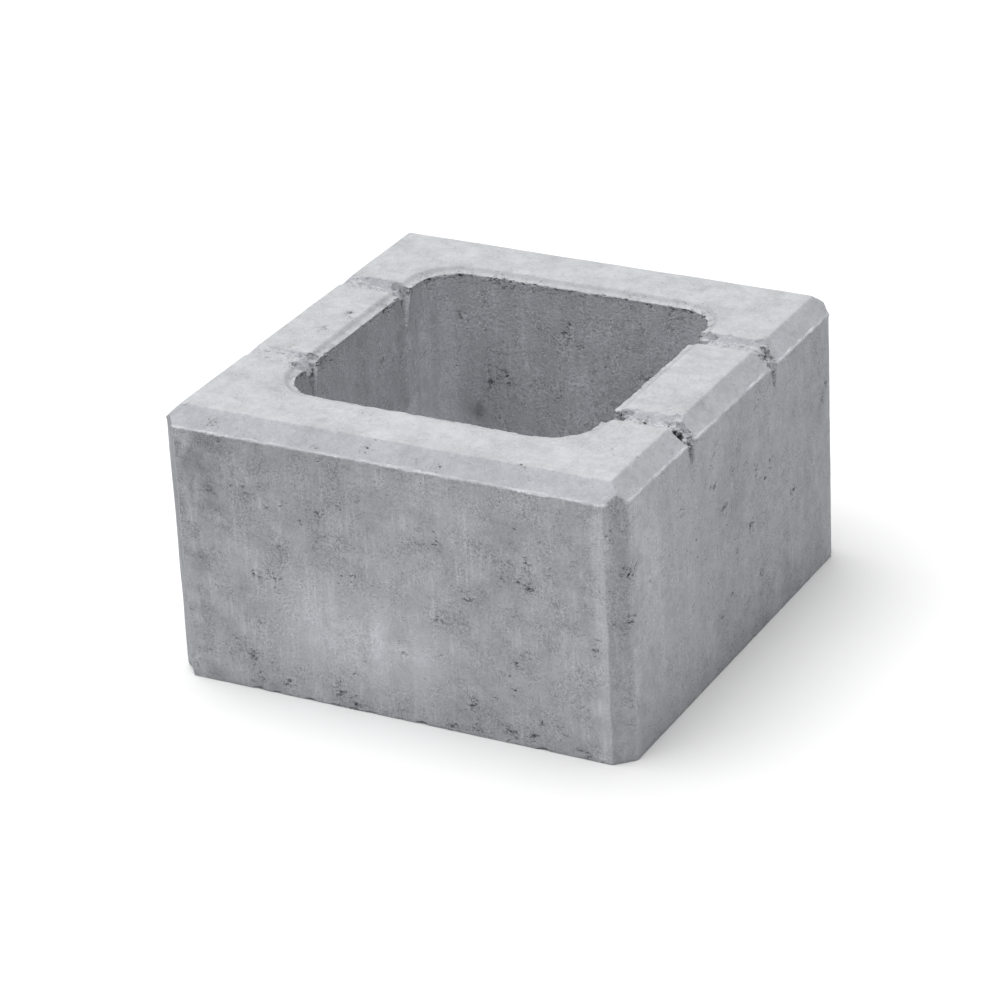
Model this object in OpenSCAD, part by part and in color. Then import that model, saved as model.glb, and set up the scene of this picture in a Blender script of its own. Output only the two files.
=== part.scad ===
// Hollow square concrete block for pillars and fence posts, laid in courses.
// The origin is at the middle of the base, +Z is up, and the front face looks along -Y.

/* [Block] */
// Width of the block, left to right
block_w = 300; // [260:5:400]
// Depth of the block, front to back
block_d = 300; // [260:5:400]
// Height of the block, one course
block_h = 175; // [120:5:250]

/* [Core] */
// Thickness of the four walls, measured just below the core's rim
wall = 52; // [35:1:60]
// Radius of the core's upright corners, just below its rim
core_r = 27; // [10:1:40]
// How far each core wall leans in between the rim and the base
core_draft = 2; // [0:0.5:5]
// Width of the slope that leads down from the top of the wall to the ledge
rim_w = 3.2; // [1:0.1:6]
// How far that slope drops
rim_drop = 2; // [0.5:0.1:4]
// Width of the narrow ledge round the core's mouth
ledge_w = 3.4; // [1:0.1:6]
// How far the ledge falls towards the core
ledge_fall = 0.8; // [0:0.1:2]

/* [Outer edges] */
// Width of the slope along the four top edges
top_chamfer = 11; // [3:0.5:18]
// Width, along each face, of the flats on the four upright corners
corner_chamfer = 11; // [3:0.5:25]

/* [Break-out grooves] */
// Width of the piece of wall between two grooves, at its top
knockout_w = 98; // [60:1:110]
// Width of a groove at the top of the wall
groove_w = 17; // [8:1:24]
// Depth of a groove below the top of the wall
groove_depth = 8.5; // [4:0.5:20]
// Radius at the bottom of a groove and of its end notches
groove_r = 1.5; // [0.5:0.25:3]
// Width of the notch at each end of a groove, at the top of the wall
notch_w = 16; // [8:1:24]
// How far an end notch runs down the wall's face, below the top of the wall
notch_drop = 25; // [12:1:50]
// How far an end notch reaches into the wall, at the top of the wall
notch_reach = 14; // [6:1:17]
// How far an end notch still reaches into the wall at its foot
notch_foot = 2; // [1:0.5:5]

/* [Hidden] */
$fn = 96;

// How far a cutting shape runs past the face that it cuts
over = 1;

// Half of the core's two sizes, and the centres of its rounded corners
core_x = block_w / 2 - wall;
core_y = block_d / 2 - wall;
corner_x = core_x - core_r;
corner_y = core_y - core_r;

// Height at which the core's walls meet the ledge
rim_z = block_h - rim_drop - ledge_fall;

// Middle of a groove, and the length of its cut: through the wall at its thickest and past both faces
groove_y = (knockout_w + groove_w) / 2;
groove_length = wall + core_draft + 2 * over;

// Outline of the block from above, with its four corners cut off
function plan_points() =
    let (x = block_w / 2, y = block_d / 2, c = corner_chamfer)
    [[x - c, -y], [x, c - y], [x, y - c], [x - c, y], [c - x, y], [-x, y - c], [-x, c - y], [c - x, -y]];

// Outline of the block across a given width, with its two top edges sloped
function side_points(width) =
    let (x = width / 2, c = top_chamfer)
    [[-x, 0], [x, 0], [x, block_h - c], [x - c, block_h], [c - x, block_h], [-x, block_h - c]];

// Distance from a corner's centre to the core's wall, at a height below the rim
function core_reach(z) = core_r - core_draft * (rim_z - z) / rim_z;

// Profile of the core's wall: up the leaning wall, out along the ledge and up the slope, past both ends
function wall_points(centre) =
    let (mouth = centre + core_r, foot = mouth + ledge_w, lean = rim_w / rim_drop)
    [[centre + core_reach(-over), -over], [mouth, rim_z], [foot, rim_z + ledge_fall],
     [foot + rim_w + lean * over, block_h + over]];

// Whole section of the core between two facing walls whose corners are centred at plus and minus centre
function core_points(centre) =
    let (right = wall_points(centre))
    concat(right, [for (i = [len(right) - 1 : -1 : 0]) [-right[i][0], right[i][1]]]);

// Half section that turns round a corner's centre
function corner_points() =
    let (right = wall_points(0))
    concat([[0, -over]], right, [[0, block_h + over]]);

// Stands a section up and runs it along Y, evenly about the origin
module run_along_y(length) {
    rotate([90, 0, 0])
        linear_extrude(length, center = true)
            children();
}

// Stands a section up and runs it along X, evenly about the origin
module run_along_x(length) {
    rotate([90, 0, 90])
        linear_extrude(length, center = true)
            children();
}

// Full outer form: the plan, cut by the two sloped sections
module outer_form() {
    intersection() {
        linear_extrude(block_h) polygon(plan_points());
        run_along_y(block_d) polygon(side_points(block_w));
        run_along_x(block_w) polygon(side_points(block_d));
    }
}

// The hollow through the block, with leaning walls, round corners and a stepped rim
module core() {
    run_along_y(2 * corner_y) polygon(core_points(corner_x));
    run_along_x(2 * corner_x) polygon(core_points(corner_y));
    for (x = [-corner_x, corner_x], y = [-corner_y, corner_y])
        translate([x, y, 0])
            rotate_extrude() polygon(corner_points());
}

// Side of an end notch that is cut into a face at x = 0, as a wedge that thins downwards inside the wall
function notch_points() =
    let (lean = (notch_reach - notch_foot) / notch_drop, drop = notch_drop + over)
    [[over + core_draft, over], [-notch_reach - lean * over, over],
     [-notch_foot + lean * over, -drop], [over + core_draft, -drop]];

// A V with straight sides and a rounded bottom, hung from the top of the wall
module v_section(width, depth) {
    centre = depth - groove_r;
    lean = atan2(width / 2, centre) - asin(groove_r / norm([width / 2, centre]));
    mouth = width / 2 + over * tan(lean);
    foot = groove_r * cos(lean);
    foot_z = -centre - groove_r * sin(lean);
    polygon([[-mouth, over], [-foot, foot_z], [foot, foot_z], [mouth, over]]);
    translate([0, -centre]) circle(groove_r);
}

// One end notch in a face at x = 0, with the wall on its -X side
module end_notch() {
    intersection() {
        run_along_x(2 * (notch_reach + over + core_draft)) v_section(notch_w, notch_drop);
        run_along_y(2 * notch_w) polygon(notch_points());
    }
}

// One groove across the top of the right wall, with a notch down the outer face and one down the core's face
module groove() {
    translate([block_w / 2 + over - groove_length / 2, 0, 0])
        run_along_x(groove_length) v_section(groove_w, groove_depth);
    translate([block_w / 2, 0, 0]) end_notch();
    translate([core_x, 0, 0]) mirror([1, 0, 0]) end_notch();
}

// Four grooves that mark the break-out piece in the tops of the left and right walls
module grooves() {
    for (turn = [0, 180], y = [-groove_y, groove_y])
        rotate(turn)
            translate([0, y, block_h]) groove();
}

// The block, cast in one piece
module concrete_block() {
    color("#b3b5b8")
        difference() {
            outer_form();
            core();
            grooves();
        }
}

concrete_block();
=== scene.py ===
"""Dresses a hollow concrete pillar block: worn and pitted pressed concrete on a pale studio floor."""

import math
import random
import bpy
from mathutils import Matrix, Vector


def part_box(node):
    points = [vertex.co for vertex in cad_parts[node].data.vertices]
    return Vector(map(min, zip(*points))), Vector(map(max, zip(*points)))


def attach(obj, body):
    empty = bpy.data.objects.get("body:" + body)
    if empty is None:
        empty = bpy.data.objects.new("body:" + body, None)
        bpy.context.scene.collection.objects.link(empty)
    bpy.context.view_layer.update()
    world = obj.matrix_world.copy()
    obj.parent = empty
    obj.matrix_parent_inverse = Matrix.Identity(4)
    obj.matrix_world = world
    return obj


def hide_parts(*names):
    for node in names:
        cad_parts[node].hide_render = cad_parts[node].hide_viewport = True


bl_info = {
    "name": "Concrete Pillar Block",
    "version": (1, 0, 0),
    "blender": (4, 5, 0),
    "location": "View3D > Sidebar > Block",
    "description": "Wears, pits and finishes a hollow concrete block, and sets it on a studio floor",
    "category": "Object",
}

import bmesh
import bpy
import numpy as np
from bpy.props import FloatProperty, FloatVectorProperty, IntProperty, PointerProperty
from mathutils import Euler, Matrix, Vector, kdtree, noise

# The packed solid, and its box before anything is added
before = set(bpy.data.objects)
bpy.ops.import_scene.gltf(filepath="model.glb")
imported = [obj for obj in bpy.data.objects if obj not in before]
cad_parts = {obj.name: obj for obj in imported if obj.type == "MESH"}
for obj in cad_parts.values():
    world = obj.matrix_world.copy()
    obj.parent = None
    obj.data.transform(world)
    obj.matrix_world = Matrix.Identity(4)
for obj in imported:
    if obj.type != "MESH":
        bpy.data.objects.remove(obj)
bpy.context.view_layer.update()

# The packed node that the finished piece stands for, and that piece's name
NODE = "concrete_block"
PIECE = "pressed_block"

# Corners of the solid's box, half of its width, its height, and one millimetre
LOW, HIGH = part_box(NODE)
HALF = HIGH.x
TOP = HIGH.z
MM = 0.001

# Height of the zone along the base that stays flat
BASE_ZONE = 2 * MM

# How layered noise is built up: how fast its finer layers fade, and how much finer each one is
NOISE_FADE = 1.0
NOISE_FINER = 2.0

# Scale of the noise that makes the pits ragged, and of the coarser noise in the deep hole and the chips
FINE_GRIT = 700
COARSE_GRIT = 400

# Numbers of the colour sockets of a mix node: the two that go in and the one that comes out
MIX_FIRST = 6
MIX_SECOND = 7
MIX_RESULT = 2

# Pits that stand out on the front face: across, up and radius in millimetres
FRONT_PITS = (
    (-117, 127, 1.3), (-104, 134, 1.0), (-88, 130, 1.2), (-45, 125, 1.9), (-31, 132, 1.3), (-19, 138, 1.1),
    (-58, 118, 1.0), (-74, 98, 1.1), (-50, 102, 1.0), (-92, 77, 1.5), (-77, 77, 1.9), (-78, 71, 1.2),
    (-32, 88, 1.2), (-26, 85, 0.9), (-116, 19, 1.2), (-97, 22, 1.4), (-111, 16, 1.0), (-93, 12, 1.9),
    (-75, 8, 1.8), (-29, 24, 1.5), (-29, 4, 2.5), (4, 52, 1.1), (21, 126, 1.3), (32, 122, 1.7),
    (83, 139, 1.2), (89, 119, 1.6), (91, 115, 1.1), (84, 106, 1.3), (88, 105, 1.4), (90, 103, 1.6),
    (75, 105, 1.1), (118, 123, 1.1), (30, 71, 1.5), (80, 54, 1.6), (89, 46, 1.1), (50, 20, 2.2),
    (51, 26, 1.1), (65, 28, 1.1), (36, 3, 1.8), (50, 5, 1.5), (74, 8, 1.8), (89, 8, 1.9), (95, 18, 1.3),
    (105, 18, 1.0), (123, 5, 1.6), (125, 33, 1.1), (126, 20, 1.0),
)
# The same on the right face
RIGHT_PITS = (
    (4, 134, 1.6), (49, 106, 1.7), (29, 109, 1.6), (41, 97, 1.7), (82, 72, 1.9), (-18, 104, 1.9),
    (19, 76, 2.1), (14, 79, 1.6), (-68, 100, 1.5), (-90, 108, 1.2), (0, 67, 1.7), (-22, 35, 1.6),
    (-42, 45, 1.3), (-74, 130, 1.3), (128, 114, 1.6), (-3, 123, 1.5), (-7, 44, 1.6), (-43, 83, 1.3),
    (72, 43, 1.3), (-54, 36, 1.2), (32, 38, 1.4),
)
# Pits on the corner, the slopes, the top and the core's walls: x, y, z and radius in millimetres
OTHER_PITS = (
    (150, -139, 121, 2.0), (149, -140, 119, 1.8), (150, -138, 118, 1.6), (150, -139, 90, 1.8),
    (149, -140, 89, 1.6), (142, -147, 65, 1.2), (141, -148, 147, 1.2),
    (-13, -144, 170, 1.5), (-9, -140, 174, 1.2), (-113, -145, 169, 1.1), (83, -139, 175, 1.4),
    (35, -146, 168, 1.2), (145, 60, 169, 2.2), (148, 58, 166, 2.0), (148, -55, 162, 2.2),
    (119, -56, 170, 1.8), (102, -50, 170, 1.5), (134, -52, 170, 1.5), (135, -60, 170, 1.8),
    (-108, -63, 173, 1.4), (-96, -60, 173, 2.2), (-95, -56, 173, 1.8), (-139, 56, 173, 1.2),
    (-119, 57, 171, 1.3), (-30, -114, 175, 1.1), (-111, 12, 175, 2.0), (-116, -13, 175, 1.6),
    (-105, -68, 175, 1.5), (-97, -67, 173, 1.8), (-8, 98, 142, 1.8), (-4, 98, 138, 1.6),
    (0, 98, 135, 1.4), (-52, 98, 107, 1.8), (-55, 98, 110, 1.5), (-58, 98, 104, 1.6), (-50, 98, 102, 1.5),
    (-62, 98, 101, 1.4), (-15, 98, 98, 1.4), (-98, 24, 140, 1.3),
)
# One deep hole beside the near groove on the right wall: x, y, z, radius and depth in millimetres
DEEP_HOLE = (143, -57, 168, 3.6, 8.0)

# How far crumbs fill each groove: distance in from the outer face and depth left open, in millimetres
GROOVE_FILL = {
    (1, -1): ((0, 1.2), (6, 3.0), (12, 4.5), (25, 5.0), (42, 4.5), (52, 4.0)),
    (1, 1): ((0, 1.5), (8, 3.0), (25, 4.0), (52, 4.0)),
    (-1, -1): ((0, 0.3), (14, 0.5), (30, 1.2), (44, 2.4), (52, 2.2)),
    (-1, 1): ((0, 0.3), (14, 0.6), (22, 4.5), (40, 5.5), (52, 6.0)),
}

# A reach so long that a patch doesn't fade along that axis, in millimetres
FAR = 9999

# Soft patches that are paler or darker than the rest: face, centre and reach in millimetres, change of tone.
# Some are the concrete's own uneven tone, others painted light and shade
TONE_AND_PAINTED_LIGHT_PATCHES = (
    ("front", (-18, -150, 46), (62, FAR, 40), 0.29),
    ("front", (14, -150, 44), (26, FAR, 22), 0.06),
    ("front", (-48, -150, 56), (48, FAR, 45), 0.11),
    ("front", (5, -150, 8), (60, FAR, 20), -0.09),
    ("front", (52, -150, 24), (26, FAR, 16), -0.12),
    ("front", (90, -150, 25), (90, FAR, 75), -0.07),
    ("front", (95, -150, 50), (34, FAR, 18), 0.07),
    ("front", (66, -150, 78), (44, FAR, 42), -0.14),
    ("front", (58, -150, 118), (42, FAR, 28), -0.08),
    ("front", (-110, -150, 2), (48, FAR, 10), -0.14),
    ("front", (-150, -150, 100), (32, FAR, 300), -0.13),
    ("front", (-150, -150, 100), (84, FAR, 300), -0.16),
    ("front", (-58, -150, 150), (125, FAR, 85), -0.17),
    ("front", (110, -150, 172), (90, FAR, 110), -0.08),
    ("front", (128, -150, 125), (26, FAR, 60), -0.07),
    ("flat", (139, -150, 130), (8, 8, 60), 0.14),
    ("flat", (145, -145, 20), (FAR, FAR, 90), 0.07),
    # Painted light: the right face paler towards its front corner
    ("right", (150, -145, 95), (FAR, 130, 190), 0.20),
    ("right", (150, -125, 130), (FAR, 26, 70), 0.06),
    ("right", (150, -137, 115), (FAR, 8, 85), -0.17),
    # Painted shade: the right face darker at its foot, towards the front
    ("right", (150, -120, 10), (FAR, 50, 65), -0.13),
    ("right", (150, -20, 152), (FAR, 60, 45), 0.08),
    # Painted shade: the right face darker at its foot, along its length
    ("right", (150, 10, -5), (FAR, 120, 60), -0.10),
    ("right", (150, 152, 90), (FAR, 28, 150), 0.14),
    # Painted shade in the end notch of the right face's near groove
    ("right", (150, -58, 154), (FAR, 8, 28), -0.14),
    # Painted light: the core's walls made paler against the shade inside the core
    ("core", (-99, 86, 90), (38, 60, 180), 0.34),
    ("core", (-99, 0, 90), (28, 120, 180), 0.31),
    ("core", (-99, -30, 60), (28, 90, 70), 0.18),
    ("core", (-95, -75, 100), (40, 45, 120), 0.15),
    ("core", (-50, 98, 50), (70, 30, 40), 0.12),
    ("core", (-98, 58, 110), (25, 15, 65), 0.18),
    ("core", (-80, 80, 125), (60, 60, 90), 0.05),
    ("core", (-2, 98, 108), (26, 30, 28), 0.08),
    # Darker patches on the core's back wall
    ("core", (45, 98, 120), (40, 30, 60), -0.06),
    ("core", (-56, 98, 105), (26, 30, 22), -0.14),
    ("core", (-74, 98, 82), (10, 30, 10), -0.20),
    ("core", (-72, 98, 79), (6, 30, 7), -0.34),
    ("top", (-124, -56, 175), (30, 18, FAR), -0.10),
    ("top", (-120, 54, 175), (30, 16, FAR), -0.10),
    ("top", (132, 56, 175), (30, 20, FAR), -0.10),
    ("top", (136, -25, 175), (18, 32, FAR), -0.08),
)

# Chips off the grooves' shoulders: x, y, z and bite in millimetres
SHOULDER_CHIPS = (
    (138, -48, 175, 1.5), (101, -66, 172, 1.2), (101, 66, 172, 1.4), (139, 66, 174, 1.3),
    (-101, -66, 172, 1.6), (-101, -49, 172, 1.2), (118, 66, 175, 0.9), (124, -49, 175, 0.8),
    (112, -49, 175, 0.9), (122, -66, 175, 0.9),
)

# Chips along the base's edges that stand out: x, y and bite in millimetres, its four corners last
BASE_CHIPS = (
    (-95, -150, 2.2), (-59, -150, 1.6), (-44, -150, 1.2), (-18, -150, 1.4), (16, -150, 2.2), (96, -150, 2.0),
    (-145, -145, 4.0), (145, -145, 0.8), (145, 145, 4.5), (-145, 145, 3.0),
)


class BlockForm(bpy.types.PropertyGroup):
    """Sizes of the solid that the finish follows"""

    wall: FloatProperty(
        name="Wall", description="Thickness of the four walls below the rim",
        default=0.052, subtype="DISTANCE", unit="LENGTH")
    core_radius: FloatProperty(
        name="Core radius", description="Radius of the core's upright corners",
        default=0.027, subtype="DISTANCE", unit="LENGTH")
    rim_width: FloatProperty(
        name="Rim width", description="Width of the slope from the top of the wall to the ledge",
        default=0.0032, subtype="DISTANCE", unit="LENGTH")
    rim_drop: FloatProperty(
        name="Rim drop", description="How far that slope drops",
        default=0.002, subtype="DISTANCE", unit="LENGTH")
    ledge_width: FloatProperty(
        name="Ledge width", description="Width of the narrow ledge round the core's mouth",
        default=0.0034, subtype="DISTANCE", unit="LENGTH")
    ledge_fall: FloatProperty(
        name="Ledge fall", description="How far the ledge falls towards the core",
        default=0.0008, subtype="DISTANCE", unit="LENGTH")
    top_slope: FloatProperty(
        name="Top slope", description="Width of the slope along the top edges",
        default=0.011, subtype="DISTANCE", unit="LENGTH")
    corner_flat: FloatProperty(
        name="Corner flat", description="How much of each face the upright corner flats take",
        default=0.011, subtype="DISTANCE", unit="LENGTH")
    groove_offset: FloatProperty(
        name="Groove offset", description="Distance of each groove from the middle of its wall",
        default=0.0575, subtype="DISTANCE", unit="LENGTH")
    groove_width: FloatProperty(
        name="Groove width", description="Width of a groove at the top of the wall",
        default=0.017, subtype="DISTANCE", unit="LENGTH")
    notch_drop: FloatProperty(
        name="Notch drop", description="How far a groove's end notches run down the wall's faces",
        default=0.025, subtype="DISTANCE", unit="LENGTH")


class BlockWear(bpy.types.PropertyGroup):
    """How the pressed surface departs from the plain solid"""

    grid_depth: IntProperty(
        name="Grid depth", description="How many times the block's width is halved to make the working grid",
        default=9, min=7, max=9)
    triangles: IntProperty(
        name="Triangles", description="Most triangles that the finished mesh keeps",
        default=196000, min=20000, max=199000)
    waviness: FloatProperty(
        name="Waviness", description="Height of the slow waves in the pressed faces",
        default=0.00022, subtype="DISTANCE", unit="LENGTH")
    crisp_edge: FloatProperty(
        name="Crisp edge", description="Width over which a fresh edge is rounded",
        default=0.0004, subtype="DISTANCE", unit="LENGTH")
    worn_edge: FloatProperty(
        name="Worn edge", description="Width over which a worn edge is rounded",
        default=0.0016, subtype="DISTANCE", unit="LENGTH")
    lip: FloatProperty(
        name="Lip", description="Height of the thin flash along the edges that the press shoe left",
        default=0.0005, subtype="DISTANCE", unit="LENGTH")
    crumb: FloatProperty(
        name="Crumb", description="Height of the crumbs in the grooves",
        default=0.0014, subtype="DISTANCE", unit="LENGTH")
    loose_pits: IntProperty(
        name="Loose pits", description="Number of small pits spread over the block",
        default=260, min=0)
    rim_breaks: IntProperty(
        name="Rim breaks", description="Number of small breaks along the edge of the core's rim",
        default=260, min=0)
    chips: IntProperty(
        name="Chips", description="Number of small chips along the edges of the base",
        default=46, min=0)
    seed: IntProperty(
        name="Seed", description="Seed of the spread of pits and chips",
        default=7)


class ConcreteFinish(bpy.types.PropertyGroup):
    """Colours of the concrete"""

    paste: FloatVectorProperty(
        name="Paste", description="Colour of the cement paste on the walls",
        subtype="COLOR", size=3, default=(0.393, 0.403, 0.427), min=0.0, max=1.0)
    bed: FloatVectorProperty(
        name="Bed", description="Colour of the pressed top, which is dustier than the walls",
        subtype="COLOR", size=3, default=(0.430, 0.440, 0.452), min=0.0, max=1.0)
    # Painted light: lifts the core's walls against the shade inside the core
    core_painted_light: FloatProperty(
        name="Core gain", description="Lightness of the core's walls against the outer walls",
        default=1.01, subtype="FACTOR", min=0.5, max=1.5)
    grain: FloatProperty(
        name="Grain", description="Strength of the sand grain in the colour",
        default=1.0, subtype="FACTOR", min=0.0, max=2.0)
    roughness: FloatProperty(
        name="Roughness", description="Roughness of the dry concrete",
        default=0.92, subtype="FACTOR", min=0.0, max=1.0)


class StudioSettings(bpy.types.PropertyGroup):
    """Floor, light and camera"""

    floor_size: FloatProperty(
        name="Floor size", description="Length of a side of the floor",
        default=24.0, subtype="DISTANCE", unit="LENGTH")
    floor_colour: FloatVectorProperty(
        name="Floor colour", description="Colour of the floor",
        subtype="COLOR", size=3, default=(0.80, 0.80, 0.80), min=0.0, max=1.0)
    key_strength: FloatProperty(
        name="Key strength", description="Strength of the broad light overhead",
        default=3.5, min=0.0)
    key_spread: FloatProperty(
        name="Key spread", description="Angle that the broad light fills, as seen from the block",
        default=math.radians(65), subtype="ANGLE", unit="ROTATION")
    key_turn: FloatVectorProperty(
        name="Key turn", description="Tilt of the broad light off the vertical",
        subtype="EULER", size=3, default=(math.radians(3), math.radians(-12), 0.0))
    room_strength: FloatProperty(
        name="Room strength", description="Strength of the even light from all round",
        default=0.35, min=0.0)
    azimuth: FloatProperty(
        name="Azimuth", description="Turn of the camera round the block, from the front towards the right",
        default=math.radians(28.7), subtype="ANGLE", unit="ROTATION")
    elevation: FloatProperty(
        name="Elevation", description="Height of the camera above the horizon, as an angle",
        default=math.radians(25.96), subtype="ANGLE", unit="ROTATION")
    roll: FloatProperty(
        name="Roll", description="Lean of the camera about its own line of sight",
        default=math.radians(-2.89), subtype="ANGLE", unit="ROTATION")
    distance: FloatProperty(
        name="Distance", description="Distance of the camera from the point that it looks at",
        default=2.486, subtype="DISTANCE", unit="LENGTH")
    aim: FloatVectorProperty(
        name="Aim", description="Point that the camera looks at",
        subtype="XYZ", size=3, default=(-0.0197, 0.0227, 0.0604), unit="LENGTH")
    lens: FloatProperty(
        name="Lens", description="Focal length of the camera, in millimetres on a 36 mm sensor",
        default=146.2, min=10.0)


def bake_modifier(obj, kind, **settings):
    """Adds a modifier, keeps the mesh that it makes and takes the modifier away again."""
    modifier = obj.modifiers.new(kind.lower(), kind)
    for name, value in settings.items():
        setattr(modifier, name, value)
    graph = bpy.context.evaluated_depsgraph_get()
    mesh = bpy.data.meshes.new_from_object(obj.evaluated_get(graph))
    obj.modifiers.remove(modifier)
    plain = obj.data
    obj.data = mesh
    bpy.data.meshes.remove(plain)


def read_points(mesh):
    """The mesh's corners as rows of x, y and z."""
    flat = np.empty(len(mesh.vertices) * 3)
    mesh.vertices.foreach_get("co", flat)
    return flat.reshape(-1, 3)


def write_points(mesh, points):
    """Moves the mesh's corners to the given rows."""
    mesh.vertices.foreach_set("co", points.ravel())
    mesh.update()


def read_normals(mesh):
    """The mesh's normals at its corners as rows of x, y and z."""
    flat = np.empty(len(mesh.vertices) * 3)
    mesh.vertex_normals.foreach_get("vector", flat)
    return flat.reshape(-1, 3)


def noise_at(points, size, where, octaves=1, shift=0.0):
    """Smooth noise from about -1 to 1 that varies over the given size, and 0 outside the chosen points."""
    values = np.zeros(len(points))
    places = (points[where] / size + shift).tolist()
    values[where] = [noise.fractal(place, NOISE_FADE, NOISE_FINER, octaves) for place in places]
    return values


def step_between(values, low, high):
    """A smooth step from 0 at low to 1 at high."""
    share = np.clip((values - low) / (high - low), 0.0, 1.0)
    return share * share * (3.0 - 2.0 * share)


def mouth_height(form):
    """Height of the edge between the core's wall and the ledge round its mouth."""
    return TOP - form.rim_drop - form.ledge_fall


def plan_distance(points, form):
    """Distance in plan from the core's wall just below the rim, more than 0 inside the concrete."""
    corner = HALF - form.wall - form.core_radius
    offset = np.abs(points[:, :2]) - corner
    outside = np.linalg.norm(np.maximum(offset, 0.0), axis=1)
    inside = np.minimum(offset.max(axis=1), 0.0)
    return outside + inside - form.core_radius


def even_grid(wear):
    """A new object whose mesh is a fine even grid over the packed solid."""
    weld = 0.01 * MM
    bm = bmesh.new()
    bm.from_mesh(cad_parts[NODE].data)
    bmesh.ops.remove_doubles(bm, verts=bm.verts, dist=weld)
    mesh = bpy.data.meshes.new(PIECE)
    bm.to_mesh(mesh)
    bm.free()
    block = bpy.data.objects.new(PIECE, mesh)
    bpy.context.scene.collection.objects.link(block)
    bake_modifier(block, "REMESH", mode="SHARP", octree_depth=wear.grid_depth, scale=0.99,
                  sharpness=1.0, use_remove_disconnected=False)
    return block


def depth_below_skin(points, form, inward):
    """Depth of each point below the block's plain skin beside a groove, and the way out to it, in and up."""
    slant = math.sqrt(0.5)
    depth = TOP - points[:, 2]
    outer_slope = slant * (inward + depth - form.top_slope)
    before_ledge = form.wall - form.ledge_width - inward
    below_rim = depth - form.rim_drop
    rim_run = math.hypot(form.rim_width, form.rim_drop)
    ledge_run = math.hypot(form.ledge_width, form.ledge_fall)
    rim = (before_ledge * form.rim_drop + below_rim * form.rim_width) / rim_run
    ledge = (before_ledge * form.ledge_fall + below_rim * form.ledge_width) / ledge_run
    choices = np.stack((depth, outer_slope, inward, np.maximum(rim, ledge), form.wall - inward))
    nearest = choices.argmin(axis=0)
    # Rows of the ways that lead out through the rim's slope and through its ledge
    rim_row = 3
    ledge_row = 5
    nearest[(nearest == rim_row) & (ledge > rim)] = ledge_row
    ways = np.array((
        (0.0, 1.0),
        (-slant, slant),
        (-1.0, 0.0),
        (form.rim_drop / rim_run, form.rim_width / rim_run),
        (1.0, 0.0),
        (form.ledge_fall / ledge_run, form.ledge_width / ledge_run),
    ))
    return choices.min(axis=0), ways[nearest]


def fill_grooves(points, form, wear, raw):
    """Fills the grooves with crumbs up to the depth left open, and marks the broken concrete as raw."""
    # Thickness of skin that doesn't count as cut, in millimetres, and the least depth left open
    skin = 0.4
    least_open = 0.3 * MM
    # Ridges drawn out along the groove, and the finer lumps on them
    ridge_size = 3 * MM
    ridge_share = 0.8
    along_groove = (0.25, 1.0, 1.0)
    lump_size = 2.2 * MM
    margin = 2 * MM
    high = points[:, 2] > TOP - form.notch_drop - margin
    for (side, end), profile in GROOVE_FILL.items():
        inward = HALF - side * points[:, 0]
        across = np.abs(points[:, 1] - end * form.groove_offset)
        below, way = depth_below_skin(points, form, inward)
        cut = high & (across < form.groove_width / 2) & (below > skin * MM)
        lumps = ridge_share * noise_at(points * along_groove, ridge_size, cut, shift=3.1)
        lumps += noise_at(points, lump_size, cut, octaves=2, shift=8.7)
        distance, left_open = np.array(profile).T * MM
        floor = np.interp(inward, distance, left_open) + wear.crumb * lumps
        excess = np.maximum(below - np.maximum(floor, least_open), 0.0) * cut
        points[:, 0] -= side * way[:, 0] * excess
        points[:, 2] += way[:, 1] * excess
        raw[cut] = np.clip(below[cut] / MM - skin, 0.0, 1.0)


def round_edges(block, width, wear):
    """Smooths the mesh until its edges are rounded over the given width, and reads its corners."""
    cell = (HIGH.x - LOW.x) / 2 ** wear.grid_depth
    passes = max(1, round((2 * width / cell) ** 2))
    bake_modifier(block, "SMOOTH", factor=0.5, iterations=passes)
    return read_points(block.data)


def wear_edges(block, points, form, wear):
    """Rounds the edges: hardly where the press shoe left them, more at the top, base and upright corners."""
    least_move = 0.02 * MM
    patch_size = 14 * MM
    usual = 0.25
    write_points(block.data, points)
    crisp = round_edges(block, wear.crisp_edge, wear)
    worn = round_edges(block, wear.worn_edge, wear)
    edge = np.linalg.norm(worn - points, axis=1) > least_move
    patchy = np.clip(2 * noise_at(points, patch_size, edge, octaves=3, shift=1.7), -1, 1)
    height = points[:, 2]
    at_top = step_between(height, TOP - 3 * MM, TOP - 1 * MM)
    at_base = 1.0 - step_between(height, 3 * MM, 10 * MM)
    shoe_edge = 1.0 - step_between(np.abs(height - TOP + form.top_slope), 1.5 * MM, 3 * MM)
    beside = np.abs(points[:, :2]).min(axis=1)
    corner = HALF - form.corner_flat
    at_corner = step_between(beside, corner - 4 * MM, corner - 2 * MM)
    share = usual + 0.30 * patchy + 0.55 * at_top + 0.20 * at_base + 0.40 * at_corner - 0.45 * shoe_edge
    return crisp + (worn - crisp) * np.clip(share, 0, 1)[:, None]


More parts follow.
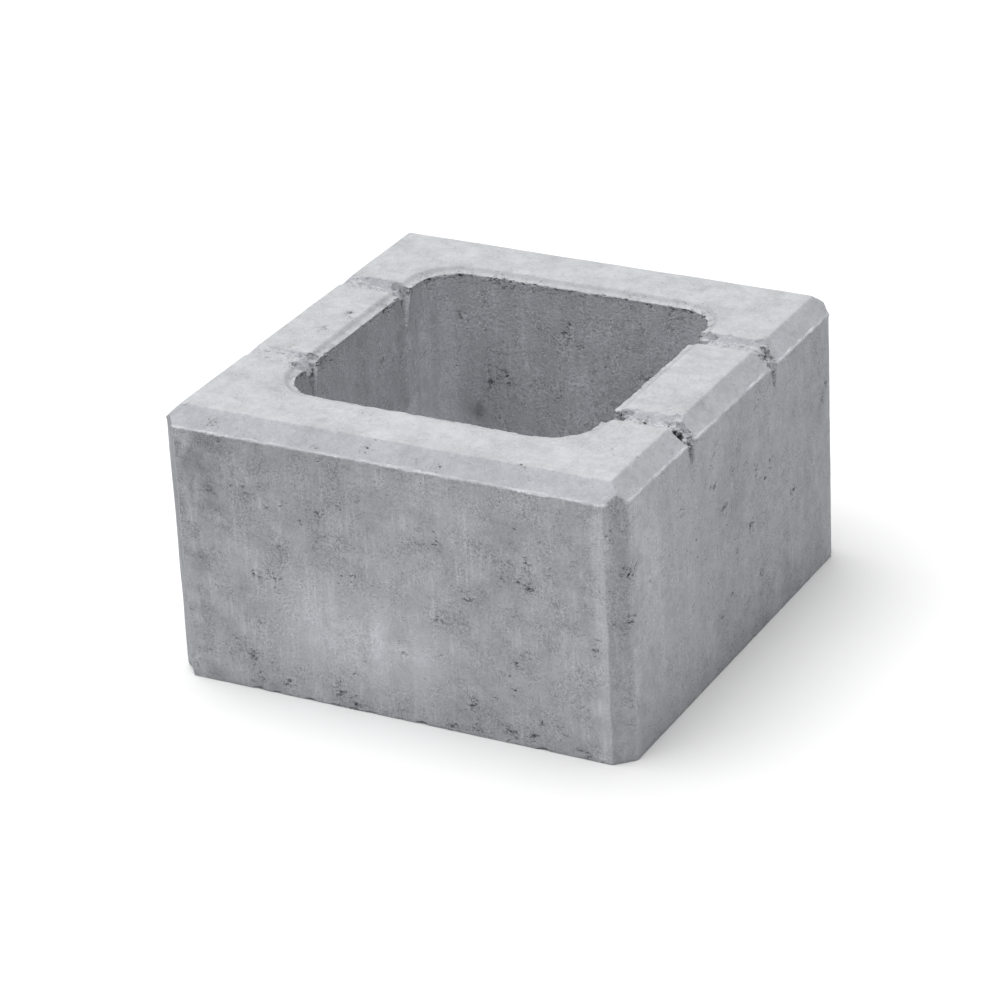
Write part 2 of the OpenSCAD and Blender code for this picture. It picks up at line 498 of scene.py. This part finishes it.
def raise_lips(points, normals, form, wear):
    """Lifts a thin broken flash along the lower edges of the top slopes and round the core's ledge."""
    # Distance from an edge over which the flash fades, and its height at the ledge against the slopes
    fade = (0.4 * MM, 1.2 * MM)
    ledge_share = 0.8
    # How its height varies along an edge
    usual = 0.45
    swing = 1.6
    most = 1.3
    break_size = 8 * MM
    reach = np.abs(points[:, :2]).max(axis=1)
    edge = 1.0 - step_between(np.abs(points[:, 2] - (TOP - form.top_slope)), *fade)
    outer = edge * (reach > HALF - 2 * MM)
    gap = np.hypot(plan_distance(points, form), points[:, 2] - mouth_height(form))
    inner = 1.0 - step_between(gap, *fade)
    lip = np.maximum(outer, ledge_share * inner)
    breaks = noise_at(points, break_size, lip > 0, octaves=2, shift=5.3)
    broken = np.clip(usual + swing * breaks, 0, most)
    return points + normals * (wear.lip * broken * lip)[:, None]


def mostly_small(rng, least, span, bias):
    """A random size, mostly near the least and at most a span above it, both given in millimetres."""
    return (least + span * rng.random() ** bias) * MM


def scatter(rng, spread):
    """A random step whose three parts are mostly within the spread."""
    return Vector([rng.gauss(0, spread) for _ in range(3)])


def loose_pits(points, wear, rng):
    """Places and radii of the small pits in loose clusters on the walls, with few on the top."""
    top_zone = 12 * MM
    share_on_top = 0.12
    region_scale = 22
    cluster_sizes = (1, 1, 2, 3, 5)
    cluster_spread = 6 * MM
    pits = []
    while len(pits) < wear.loose_pits:
        middle = Vector(points[rng.randrange(len(points))])
        if middle.z < BASE_ZONE or noise.noise(middle * region_scale) < 0.0:
            continue
        if middle.z > TOP - top_zone and rng.random() > share_on_top:
            continue
        for _ in range(rng.choice(cluster_sizes)):
            place = middle + scatter(rng, cluster_spread)
            pits.append((place, mostly_small(rng, least=0.5, span=0.6, bias=2.5)))
    return pits


def noted_pits(rng):
    """Places and radii of the pits that stand out, each with a few smaller ones beside it.

    The left face gets the pits of the right face upside down, and the back every second one of the front's.
    """
    # Half of the block's width, and the height that a pit and its upside-down copy add up to
    half = HALF / MM
    turned_over = 163
    # A pit is sunk smaller than noted, as its ragged edge and the pits beside it make up the rest
    solid_share = 0.65
    followers = (2, 3, 4, 5)
    follower_spread = 3
    follower_share = (0.4, 0.7)
    places = [((x, -half, z), r) for x, z, r in FRONT_PITS]
    places += [((half, y, z), r) for y, z, r in RIGHT_PITS]
    places += [((x, y, z), r) for x, y, z, r in OTHER_PITS]
    places += [((x, half, turned_over - z), r) for x, z, r in FRONT_PITS[::2]]
    places += [((-half, y, turned_over - z), r) for y, z, r in RIGHT_PITS]
    pits = []
    for place, r in places:
        centre = Vector(place) * MM
        radius = solid_share * r * MM
        pits.append((centre, radius))
        for _ in range(rng.choice(followers)):
            beside = centre + scatter(rng, follower_spread * radius)
            pits.append((beside, radius * rng.uniform(*follower_share)))
    return pits


def rim_pits(form, wear, rng):
    """Places and radii of the small breaks along the edge between the core's wall and its ledge."""
    half_turns = (0.0, 0.5, 1.0, 1.5)
    # How far below the edge a break lies
    drop = 0.8 * MM
    share_on_straights = 0.75
    straight = HALF - form.wall - form.core_radius
    pits = []
    for _ in range(wear.rim_breaks):
        turn = Matrix.Rotation(rng.choice(half_turns) * math.pi, 3, "Z")
        height = mouth_height(form) - abs(rng.gauss(0, drop))
        if rng.random() < share_on_straights:
            place = Vector((HALF - form.wall, rng.uniform(-straight, straight), height))
        else:
            bend = rng.uniform(0.0, math.pi / 2)
            place = Vector((math.cos(bend), math.sin(bend), 0)) * form.core_radius
            place += Vector((straight, straight, height))
        pits.append((turn @ place, mostly_small(rng, least=0.5, span=0.9, bias=2)))
    return pits


def sink_pits(count, tree, pits):
    """Depth of each point below the pressed surface in ragged pits, and how torn it is round them."""
    # Reach of the torn halo and of the pit in radii, and the most that a halo is torn
    halo_reach = 7.5
    pit_reach = 1.8
    most_torn = 1.7
    # Form of a pit
    squatness = 1.4
    fullness = 0.8
    raggedness = 1.8
    roundness = 0.6
    hollow = np.zeros(count)
    torn = np.zeros(count)
    for centre, radius in pits:
        nearest, _, _ = tree.find(centre)
        halo = halo_reach * radius
        tear = min(most_torn * radius / MM, most_torn)
        for place, index, distance in tree.find_range(nearest, halo):
            torn[index] = max(torn[index], (1.0 - distance / halo) * tear)
            if distance > pit_reach * radius:
                continue
            offset = place - nearest
            offset.z *= squatness
            share = fullness - (offset.length / radius) ** 2 + raggedness * noise.noise(place * FINE_GRIT)
            if share > 0.0:
                hollow[index] = max(hollow[index], radius * min(share, 1.0) ** roundness)
    return hollow, torn


def sink_hole(tree, hollow):
    """Adds the one deep hole to the depths."""
    hole_reach = 1.4
    raggedness = 0.7
    roundness = 0.5
    x, y, z, radius, depth = (size * MM for size in DEEP_HOLE)
    nearest, _, _ = tree.find((x, y, z))
    for place, index, distance in tree.find_range(nearest, hole_reach * radius):
        share = 1.0 - (distance / radius) ** 2 + raggedness * noise.noise(place * COARSE_GRIT)
        if share > 0.0:
            hollow[index] = max(hollow[index], depth * min(share, 1.0) ** roundness)


def edge_chips(form, wear, rng):
    """Centres and radii of the balls that bite chips out of the base's edges and the grooves' shoulders."""
    # Radius of a ball as a multiple of its bite
    base_ratio = (2.5, 4.5)
    shoulder_ratio = (3.0, 5.0)
    places = [(x * MM, y * MM, bite * MM) for x, y, bite in BASE_CHIPS]
    reach = HALF - form.corner_flat
    for _ in range(wear.chips):
        along = rng.uniform(-reach, reach)
        side = rng.choice((-HALF, HALF))
        bite = mostly_small(rng, least=0.4, span=1.3, bias=2)
        places.append((along, side, bite) if rng.random() < 0.5 else (side, along, bite))
    balls = []
    for x, y, bite in places:
        radius = bite * rng.uniform(*base_ratio)
        outward = Vector((x if abs(x) > reach else 0, y if abs(y) > reach else 0, 0)).normalized()
        outward = (outward + Vector((0, 0, -1))).normalized()
        balls.append((Vector((x, y, 0)) + outward * (radius - bite), radius))
    for x, y, z, size in SHOULDER_CHIPS:
        bite = size * MM
        radius = bite * rng.uniform(*shoulder_ratio)
        middle = math.copysign(form.groove_offset, y)
        outward = Vector((0, math.copysign(1.0, middle - y * MM), 1)).normalized()
        balls.append((Vector((x, y, z)) * MM + outward * (radius - bite), radius))
    return balls


def bite_chips(points, tree, balls, raw):
    """Pushes the points inside each ball back to the ball's uneven skin, and marks them as raw."""
    raggedness = 0.08
    layers = 2
    rawness = 0.6
    for centre, radius in balls:
        for place, index, distance in tree.find_range(centre, radius):
            bumps = noise.fractal(place * COARSE_GRIT, NOISE_FADE, NOISE_FINER, layers)
            ragged = radius * (1.0 + raggedness * bumps)
            points[index] = centre + (place - centre) * (ragged / distance)
            raw[index] = rawness


def neighbour_tree(points):
    """A search tree over the points."""
    tree = kdtree.KDTree(len(points))
    for index, place in enumerate(points.tolist()):
        tree.insert(place, index)
    tree.balance()
    return tree


def keep_value(mesh, name, values):
    """Stores one number for each corner of the mesh under a name that a material can read."""
    store = mesh.attributes.new(name, "FLOAT", "POINT")
    store.data.foreach_set("value", values.astype(np.float32))


def press_block(form, wear):
    """Makes the block's finished mesh: filled grooves, worn edges, flash, chips and pits."""
    wave_size = 45 * MM
    sharp_angle = math.radians(40)
    rng = random.Random(wear.seed)
    block = even_grid(wear)
    points = read_points(block.data)
    raw = np.zeros(len(points))
    fill_grooves(points, form, wear, raw)
    points = wear_edges(block, points, form, wear)
    write_points(block.data, points)
    normals = read_normals(block.data)
    points = raise_lips(points, normals, form, wear)
    wavy = points[:, 2] > BASE_ZONE
    waves = wear.waviness * noise_at(points, wave_size, wavy, octaves=2, shift=2.2)
    points += normals * waves[:, None]
    tree = neighbour_tree(points)
    pits = noted_pits(rng) + loose_pits(points, wear, rng) + rim_pits(form, wear, rng)
    hollow, torn = sink_pits(len(points), tree, pits)
    sink_hole(tree, hollow)
    bite_chips(points, tree, edge_chips(form, wear, rng), raw)
    points -= normals * hollow[:, None]
    points[:, 2] = np.maximum(points[:, 2], LOW.z)
    write_points(block.data, points)
    # Depth of the pits and the hole, which the material turns into painted shade
    keep_value(block.data, "hollow", hollow / MM)
    keep_value(block.data, "torn", torn)
    keep_value(block.data, "raw", raw)
    triangles = len(block.data.loops) - 2 * len(block.data.polygons)
    bake_modifier(block, "DECIMATE", ratio=wear.triangles / triangles)
    block.data.shade_smooth()
    block.data.set_sharp_from_angle(angle=sharp_angle)
    block.data.name = PIECE
    return block


class NodeSheet:
    """A material's node tree, with one short call for each kind of node that the finishes need."""

    def __init__(self, name):
        self.material = bpy.data.materials.new(name)
        self.material.use_nodes = True
        self.tree = self.material.node_tree
        self.tree.nodes.clear()

    def add(self, kind, values, **settings):
        """A node with its settings, and its inputs set or linked by name or number."""
        made = self.tree.nodes.new(kind)
        for name, value in settings.items():
            setattr(made, name, value)
        for name, value in values.items():
            if isinstance(value, bpy.types.NodeSocket):
                self.tree.links.new(value, made.inputs[name])
            else:
                made.inputs[name].default_value = value
        return made

    def math(self, operation, first, second=0.0, third=0.0):
        """One sum on numbers."""
        return self.add("ShaderNodeMath", {0: first, 1: second, 2: third}, operation=operation).outputs[0]

    def stretch(self, place, factors):
        """Coordinates multiplied by a factor along each axis."""
        made = self.add("ShaderNodeVectorMath", {0: place, 1: factors}, operation="MULTIPLY")
        return made.outputs["Vector"]

    def split(self, vector):
        """The three numbers of a vector."""
        return self.add("ShaderNodeSeparateXYZ", {0: vector}).outputs

    def step(self, value, low, high, to_low=0.0, to_high=1.0):
        """A smooth step between two values."""
        ends = {"Value": value, "From Min": low, "From Max": high, "To Min": to_low, "To Max": to_high}
        return self.add("ShaderNodeMapRange", ends, interpolation_type="SMOOTHSTEP").outputs["Result"]

    def cloud(self, place, scale, detail=2.0, roughness=0.5, distortion=0.0):
        """Noise around 0.5."""
        sizes = {"Vector": place, "Scale": scale, "Detail": detail, "Roughness": roughness}
        return self.add("ShaderNodeTexNoise", {**sizes, "Distortion": distortion}).outputs["Fac"]

    def noise(self, place, scale, detail=2.0, roughness=0.5):
        """Noise spread from -1 to 1."""
        usual_low = 0.28
        usual_high = 0.72
        return self.step(self.cloud(place, scale, detail, roughness), usual_low, usual_high, -1.0, 1.0)

    def sum(self, *values):
        """All the values added."""
        total = values[0]
        for value in values[1:]:
            total = self.math("ADD", total, value)
        return total

    def product(self, *values):
        """All the values multiplied."""
        total = values[0]
        for value in values[1:]:
            total = self.math("MULTIPLY", total, value)
        return total

    def blend(self, base, *parts):
        """The base and every part added, where a part is a row of values to multiply."""
        return self.sum(base, *(self.product(*part) for part in parts))

    def patch(self, place, centre, reach, ragged):
        """1 at the centre of a soft patch and 0 beyond its reach, with a ragged outline."""
        end = 1.0
        full = 0.1
        sizes = {"Vector": place, "Location": Vector(centre) * MM, "Scale": Vector(reach) * MM}
        inside = self.add("ShaderNodeMapping", sizes, vector_type="TEXTURE").outputs["Vector"]
        distance = self.add("ShaderNodeVectorMath", {0: inside}, operation="LENGTH").outputs["Value"]
        return self.step(self.sum(distance, ragged), end, full)

    def gain(self, mask, change):
        """1 where the mask is 0, and 1 plus the change where it is 1."""
        return self.math("MULTIPLY_ADD", mask, change, 1.0)

    def attribute(self, name):
        """A number that the mesh stores."""
        return self.add("ShaderNodeAttribute", {}, attribute_name=name).outputs["Fac"]

    def finish(self, colour, roughness, specular, normal=None):
        """The shader and the output."""
        values = {"Base Color": colour, "Roughness": roughness, "Specular IOR Level": specular}
        if normal is not None:
            values["Normal"] = normal
        shader = self.add("ShaderNodeBsdfPrincipled", values)
        self.add("ShaderNodeOutputMaterial", {"Surface": shader.outputs["BSDF"]})
        return self.material


def concrete_material(form, finish):
    """Dry pressed concrete: clouded paste, clustered grain and torn flecks, drag streaks and pale edges,
    with painted light and shade in the pits, flecks, grooves, rim and core.
    """
    sheet = NodeSheet("pressed_concrete")
    coordinates = sheet.add("ShaderNodeTexCoord", {}).outputs
    place = coordinates["Object"]
    side_x, side_y, z = sheet.split(place)
    facing_x, facing_y, facing_z = sheet.split(coordinates["Normal"])
    x = sheet.math("ABSOLUTE", side_x)
    y = sheet.math("ABSOLUTE", side_y)
    reach = sheet.math("MAXIMUM", x, y)
    along = sheet.math("MINIMUM", x, y)
    raw = sheet.attribute("raw")
    hollow = sheet.attribute("hollow")
    torn = sheet.attribute("torn")

    # Where the surface is wall, level top, pressed top and slopes, front face, right face or core
    wall = sheet.step(sheet.math("ABSOLUTE", facing_z), 0.55, 0.25)
    level = sheet.step(facing_z, 0.80, 0.97)
    pressed = sheet.step(facing_z, 0.35, 0.62)
    inner_face = HALF - form.wall
    in_core = sheet.product(sheet.step(reach, inner_face + 4 * MM, inner_face + 1 * MM), wall)
    outside = sheet.step(reach, HALF - 16 * MM, HALF - 13 * MM)
    front = sheet.product(sheet.step(facing_y, -0.80, -0.97), outside)
    right = sheet.product(sheet.step(facing_x, 0.80, 0.97), outside)

    # Slow clouds, patches and mottles of the paste, and its grain of sand and dust in drifts
    clouds = sheet.noise(place, scale=12.0)
    patches = sheet.noise(place, scale=46.0, detail=3.0, roughness=0.6)
    mottles = sheet.noise(place, scale=170.0, detail=3.0, roughness=0.6)
    drift = sheet.noise(place, scale=70.0, detail=3.0, roughness=0.65)
    sand = sheet.noise(place, scale=520.0, roughness=0.6)
    dust = sheet.noise(place, scale=1000.0, detail=3.0, roughness=0.75)
    speckled = sheet.step(drift, -0.7, 0.8, to_low=0.45, to_high=1.25)

    # Upright marks that the mould dragged down the walls: broad bands, pale lines and fine scratches
    tall = sheet.stretch(place, (1.0, 1.0, 0.10))
    taller = sheet.stretch(place, (1.0, 1.0, 0.07))
    bands = sheet.noise(tall, scale=48.0, roughness=0.6)
    lines = sheet.step(sheet.cloud(taller, scale=300.0, roughness=0.6), 0.54, 0.64)
    scratches = sheet.noise(tall, scale=700.0, detail=1.0, roughness=0.6)
    dragged = sheet.product(wall, sheet.step(patches, -0.6, 0.7, to_low=0.15))

    # Torn flecks and finer specks, small dents wider than they are high and thickest round the pits,
    # darkened with painted shade inside them, and pale flecks
    squat = sheet.stretch(place, (1.0, 1.0, 1.8))
    fleck_noise = sheet.cloud(squat, scale=270.0, detail=5.0, roughness=0.7, distortion=0.8)
    fleck_edge = sheet.blend(0.670, (drift, -0.030), (torn, -0.085), (in_core, -0.018), (raw, -0.04))
    tears = sheet.math("SUBTRACT", fleck_noise, fleck_edge)
    fleck = sheet.product(sheet.step(tears, -0.005, 0.025), sheet.gain(pressed, -0.5))
    speck_noise = sheet.cloud(squat, scale=760.0, roughness=0.6)
    speck_edge = sheet.blend(0.625, (drift, -0.035), (torn, -0.03))
    specks = sheet.math("SUBTRACT", speck_noise, speck_edge)
    speck = sheet.product(sheet.step(specks, 0.0, 0.05), sheet.gain(pressed, -0.4))
    bright = sheet.step(sheet.cloud(place, scale=380.0, roughness=0.6), 0.62, 0.70)

    # Pale flash along the edges that the press shoe left, and painted shade on the slope and ledge of the
    # rim
    ragged = sheet.math("MULTIPLY", mottles, 0.45 * MM)
    shoe_edge = sheet.math("ABSOLUTE", sheet.sum(z, ragged, form.top_slope - TOP))
    flash = sheet.product(
        sheet.step(shoe_edge, 1.0 * MM, 0.3 * MM),
        sheet.step(drift, -0.8, 0.5, to_low=0.3, to_high=1.2),
        sheet.step(reach, HALF - 3 * MM, HALF - 1 * MM),
    )
    rim_edge = sheet.math("ABSOLUTE", sheet.sum(z, ragged, -mouth_height(form)))
    at_mouth = sheet.step(reach, inner_face + 2.5 * MM, inner_face + 1.5 * MM)
    rim_flash = sheet.product(sheet.step(rim_edge, 0.8 * MM, 0.3 * MM), at_mouth)
    rim_reach = inner_face + form.rim_width + form.ledge_width
    rim_painted_shade = sheet.product(sheet.step(reach, rim_reach + 1 * MM, rim_reach - 1 * MM), pressed)

    # Flats on the upright corners, with uneven outlines, and smears beside them on the front face
    corner = HALF - form.corner_flat
    beside = sheet.math("MULTIPLY_ADD", patches, 3 * MM, along)
    clear_of_flat = sheet.step(along, corner + 0.5 * MM, corner - 0.5 * MM)
    smear = sheet.product(sheet.step(beside, corner - 10 * MM, corner - 4 * MM), front, clear_of_flat)
    outline = sheet.blend(along, (patches, 1.0 * MM), (mottles, 0.6 * MM))
    flat = sheet.product(sheet.step(outline, corner - 0.5 * MM, corner + 2.0 * MM), wall, outside)

    # Painted shade in the pits and the deep hole, darker the deeper they are, and the patches that are paler
    # or darker than the rest, some of them painted light and shade
    pit_shade = sheet.step(hollow, 0.1, 0.9)
    hole = sheet.step(hollow, 2.5, 5.0)
    faces = {"front": front, "right": right, "flat": flat, "core": in_core, "top": pressed}
    uneven = sheet.sum(sheet.product(patches, 0.18), sheet.product(mottles, 0.10))
    tones_and_painted_light = [sheet.product(sheet.patch(place, centre, size, uneven), faces[face], change)
                  for face, centre, size, change in TONE_AND_PAINTED_LIGHT_PATCHES]
    streaked = sheet.blend(1.0, (drift, 0.35), (mottles, 0.25), (bands, wall, 0.30))

    # Lightness of the paste, grain by zone first, and then its colour
    # Painted light and shade in the core: its walls paler towards the mouth and darker deeper down
    mouth = sheet.step(z, 60 * MM, 170 * MM, to_low=-0.05, to_high=0.13)
    line_strength = sheet.step(right, 0.0, 1.0, to_low=0.13, to_high=0.05)
    dusty = sheet.step(drift, 0.1, -0.7)
    grain = sheet.product(speckled, sheet.sum(sheet.product(sand, 0.080), sheet.product(dust, 0.130)))
    zone = sheet.blend(finish.grain, (pressed, -0.45), (in_core, 1.0), (flat, 0.3), (raw, 0.5),
                       (front, 0.55), (right, 0.30))
    tone = sheet.blend(
        1.0,
        (grain, zone),
        (mottles, sheet.blend(0.055, (right, 0.025))),
        (clouds, 0.030),
        (patches, 0.060),
        (bright, 0.08),
        (bands, wall, sheet.blend(0.035, (right, 0.02))),
        (dragged, lines, line_strength),
        (dragged, scratches, 0.035),
        (dusty, level, 0.05),
        (flash, 0.32),
        (rim_flash, 0.05),
        (rim_painted_shade, -0.06),
        (smear, 0.14),
        (flat, -0.20),
        # Painted light: the broken concrete of the grooves and chips made paler against the shade inside the
        # grooves
        (raw, 0.06),
        # Painted light and shade down the core's walls
        (in_core, mouth),
        (sheet.sum(*tones_and_painted_light), streaked),
    )
    gains = sheet.product(
        tone,
        # Painted light on the core's walls
        sheet.gain(in_core, finish.core_painted_light - 1.0),
        # Painted shade inside the torn flecks and specks
        sheet.gain(fleck, -0.48),
        sheet.gain(speck, -0.26),
        # Painted shade in the pits and the deep hole
        sheet.gain(pit_shade, -0.45),
        sheet.gain(hole, -0.85),
    )
    ends = {0: level, MIX_FIRST: (*finish.paste, 1.0), MIX_SECOND: (*finish.bed, 1.0)}
    mix = sheet.add("ShaderNodeMix", ends, data_type="RGBA")
    scaled = {0: mix.outputs[MIX_RESULT], "Scale": gains}
    colour = sheet.add("ShaderNodeVectorMath", scaled, operation="SCALE")

    # Fine relief, in millimetres
    relief = sheet.blend(
        0.0,
        (mottles, 0.10),
        (sand, 0.060, zone),
        (dust, 0.025, zone),
        (dragged, scratches, 0.03),
        (fleck, -0.25),
        (speck, -0.08),
    )
    bump = sheet.add("ShaderNodeBump", {"Strength": 1.0, "Distance": MM, "Height": relief})
    surface = colour.outputs["Vector"]
    return sheet.finish(surface, finish.roughness, specular=0.15, normal=bump.outputs["Normal"])


def floor_material(stage):
    """Plain pale floor with a faint unevenness in its sheen."""
    sheet = NodeSheet("pale_floor")
    place = sheet.add("ShaderNodeTexCoord", {}).outputs["Object"]
    usual = 0.85
    swing = 0.04
    rough = sheet.math("MULTIPLY_ADD", sheet.noise(place, scale=3.0), swing, usual)
    return sheet.finish((*stage.floor_colour, 1.0), rough, specular=0.1)


def lay_floor(stage):
    """Lays the floor that the block stands on."""
    bm = bmesh.new()
    bmesh.ops.create_grid(bm, x_segments=1, y_segments=1, size=stage.floor_size / 2)
    mesh = bpy.data.meshes.new("studio_floor")
    bm.to_mesh(mesh)
    bm.free()
    mesh.materials.append(floor_material(stage))
    floor = bpy.data.objects.new("studio_floor", mesh)
    bpy.context.scene.collection.objects.link(floor)


def hang_lights(stage):
    """Hangs the broad light overhead, and lights the room evenly from all round."""
    lamp = bpy.data.lights.new("broad_light", "SUN")
    lamp.energy = stage.key_strength
    lamp.angle = stage.key_spread
    key = bpy.data.objects.new("broad_light", lamp)
    key.rotation_euler = stage.key_turn
    bpy.context.scene.collection.objects.link(key)
    room = bpy.data.worlds.new("studio_room")
    room.use_nodes = True
    background = room.node_tree.nodes["Background"]
    background.inputs["Color"].default_value = (1.0, 1.0, 1.0, 1.0)
    background.inputs["Strength"].default_value = stage.room_strength
    bpy.context.scene.world = room


def set_camera(stage):
    """Sets the camera on a line of sight round and above the block, with a slight lean."""
    turn = Euler((math.pi / 2 - stage.elevation, 0, stage.azimuth)).to_matrix().to_4x4()
    turn = turn @ Matrix.Rotation(stage.roll, 4, "Z")
    lens = bpy.data.cameras.new("studio_camera")
    lens.lens = stage.lens
    lens.dof.use_dof = False
    camera = bpy.data.objects.new("studio_camera", lens)
    place = Vector(stage.aim) + turn.to_3x3() @ Vector((0, 0, stage.distance))
    camera.matrix_world = Matrix.Translation(place) @ turn
    bpy.context.scene.collection.objects.link(camera)
    bpy.context.scene.camera = camera


class OBJECT_OT_press_concrete_block(bpy.types.Operator):
    """Makes the worn and pitted block that stands for the packed solid"""

    bl_idname = "object.press_concrete_block"
    bl_label = "Press concrete block"

    def execute(self, context):
        scene = context.scene
        block = press_block(scene.block_form, scene.block_wear)
        if not block.data.polygons:
            raise RuntimeError("the working grid over the packed solid came out empty")
        block.data.materials.clear()
        block.data.materials.append(concrete_material(scene.block_form, scene.block_finish))
        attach(block, "root")
        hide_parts(NODE)
        return {"FINISHED"}


class OBJECT_OT_set_block_studio(bpy.types.Operator):
    """Lays the pale floor, hangs the lights and sets the camera"""

    bl_idname = "object.set_block_studio"
    bl_label = "Set block studio"

    def execute(self, context):
        stage = context.scene.block_studio
        lay_floor(stage)
        hang_lights(stage)
        set_camera(stage)
        context.scene.view_settings.view_transform = "Standard"
        return {"FINISHED"}


class VIEW3D_PT_concrete_block(bpy.types.Panel):
    """Lists the block's steps and their settings"""

    bl_idname = "VIEW3D_PT_concrete_block"
    bl_label = "Concrete Block"
    bl_space_type = "VIEW_3D"
    bl_region_type = "UI"
    bl_category = "Block"

    def draw(self, context):
        for step in STEPS:
            self.layout.operator(step.bl_idname)
        for name, kind in SETTINGS.items():
            group = self.layout.box()
            group.label(text=kind.__doc__)
            for setting in kind.__annotations__:
                group.prop(getattr(context.scene, name), setting)


STEPS = (OBJECT_OT_press_concrete_block, OBJECT_OT_set_block_studio)
SETTINGS = {
    "block_form": BlockForm,
    "block_wear": BlockWear,
    "block_finish": ConcreteFinish,
    "block_studio": StudioSettings,
}
CLASSES = (*SETTINGS.values(), *STEPS, VIEW3D_PT_concrete_block)


def register():
    """Registers the classes and gives the scene its settings."""
    for kind in CLASSES:
        bpy.utils.register_class(kind)
    for name, kind in SETTINGS.items():
        setattr(bpy.types.Scene, name, PointerProperty(type=kind))


def unregister():
    """Takes away what register added."""
    for name in SETTINGS:
        delattr(bpy.types.Scene, name)
    for kind in reversed(CLASSES):
        bpy.utils.unregister_class(kind)


def main():
    """Registers the steps and runs them in order."""
    register()
    bpy.ops.object.press_concrete_block()
    bpy.ops.object.set_block_studio()


if __name__ == "__main__":
    main()
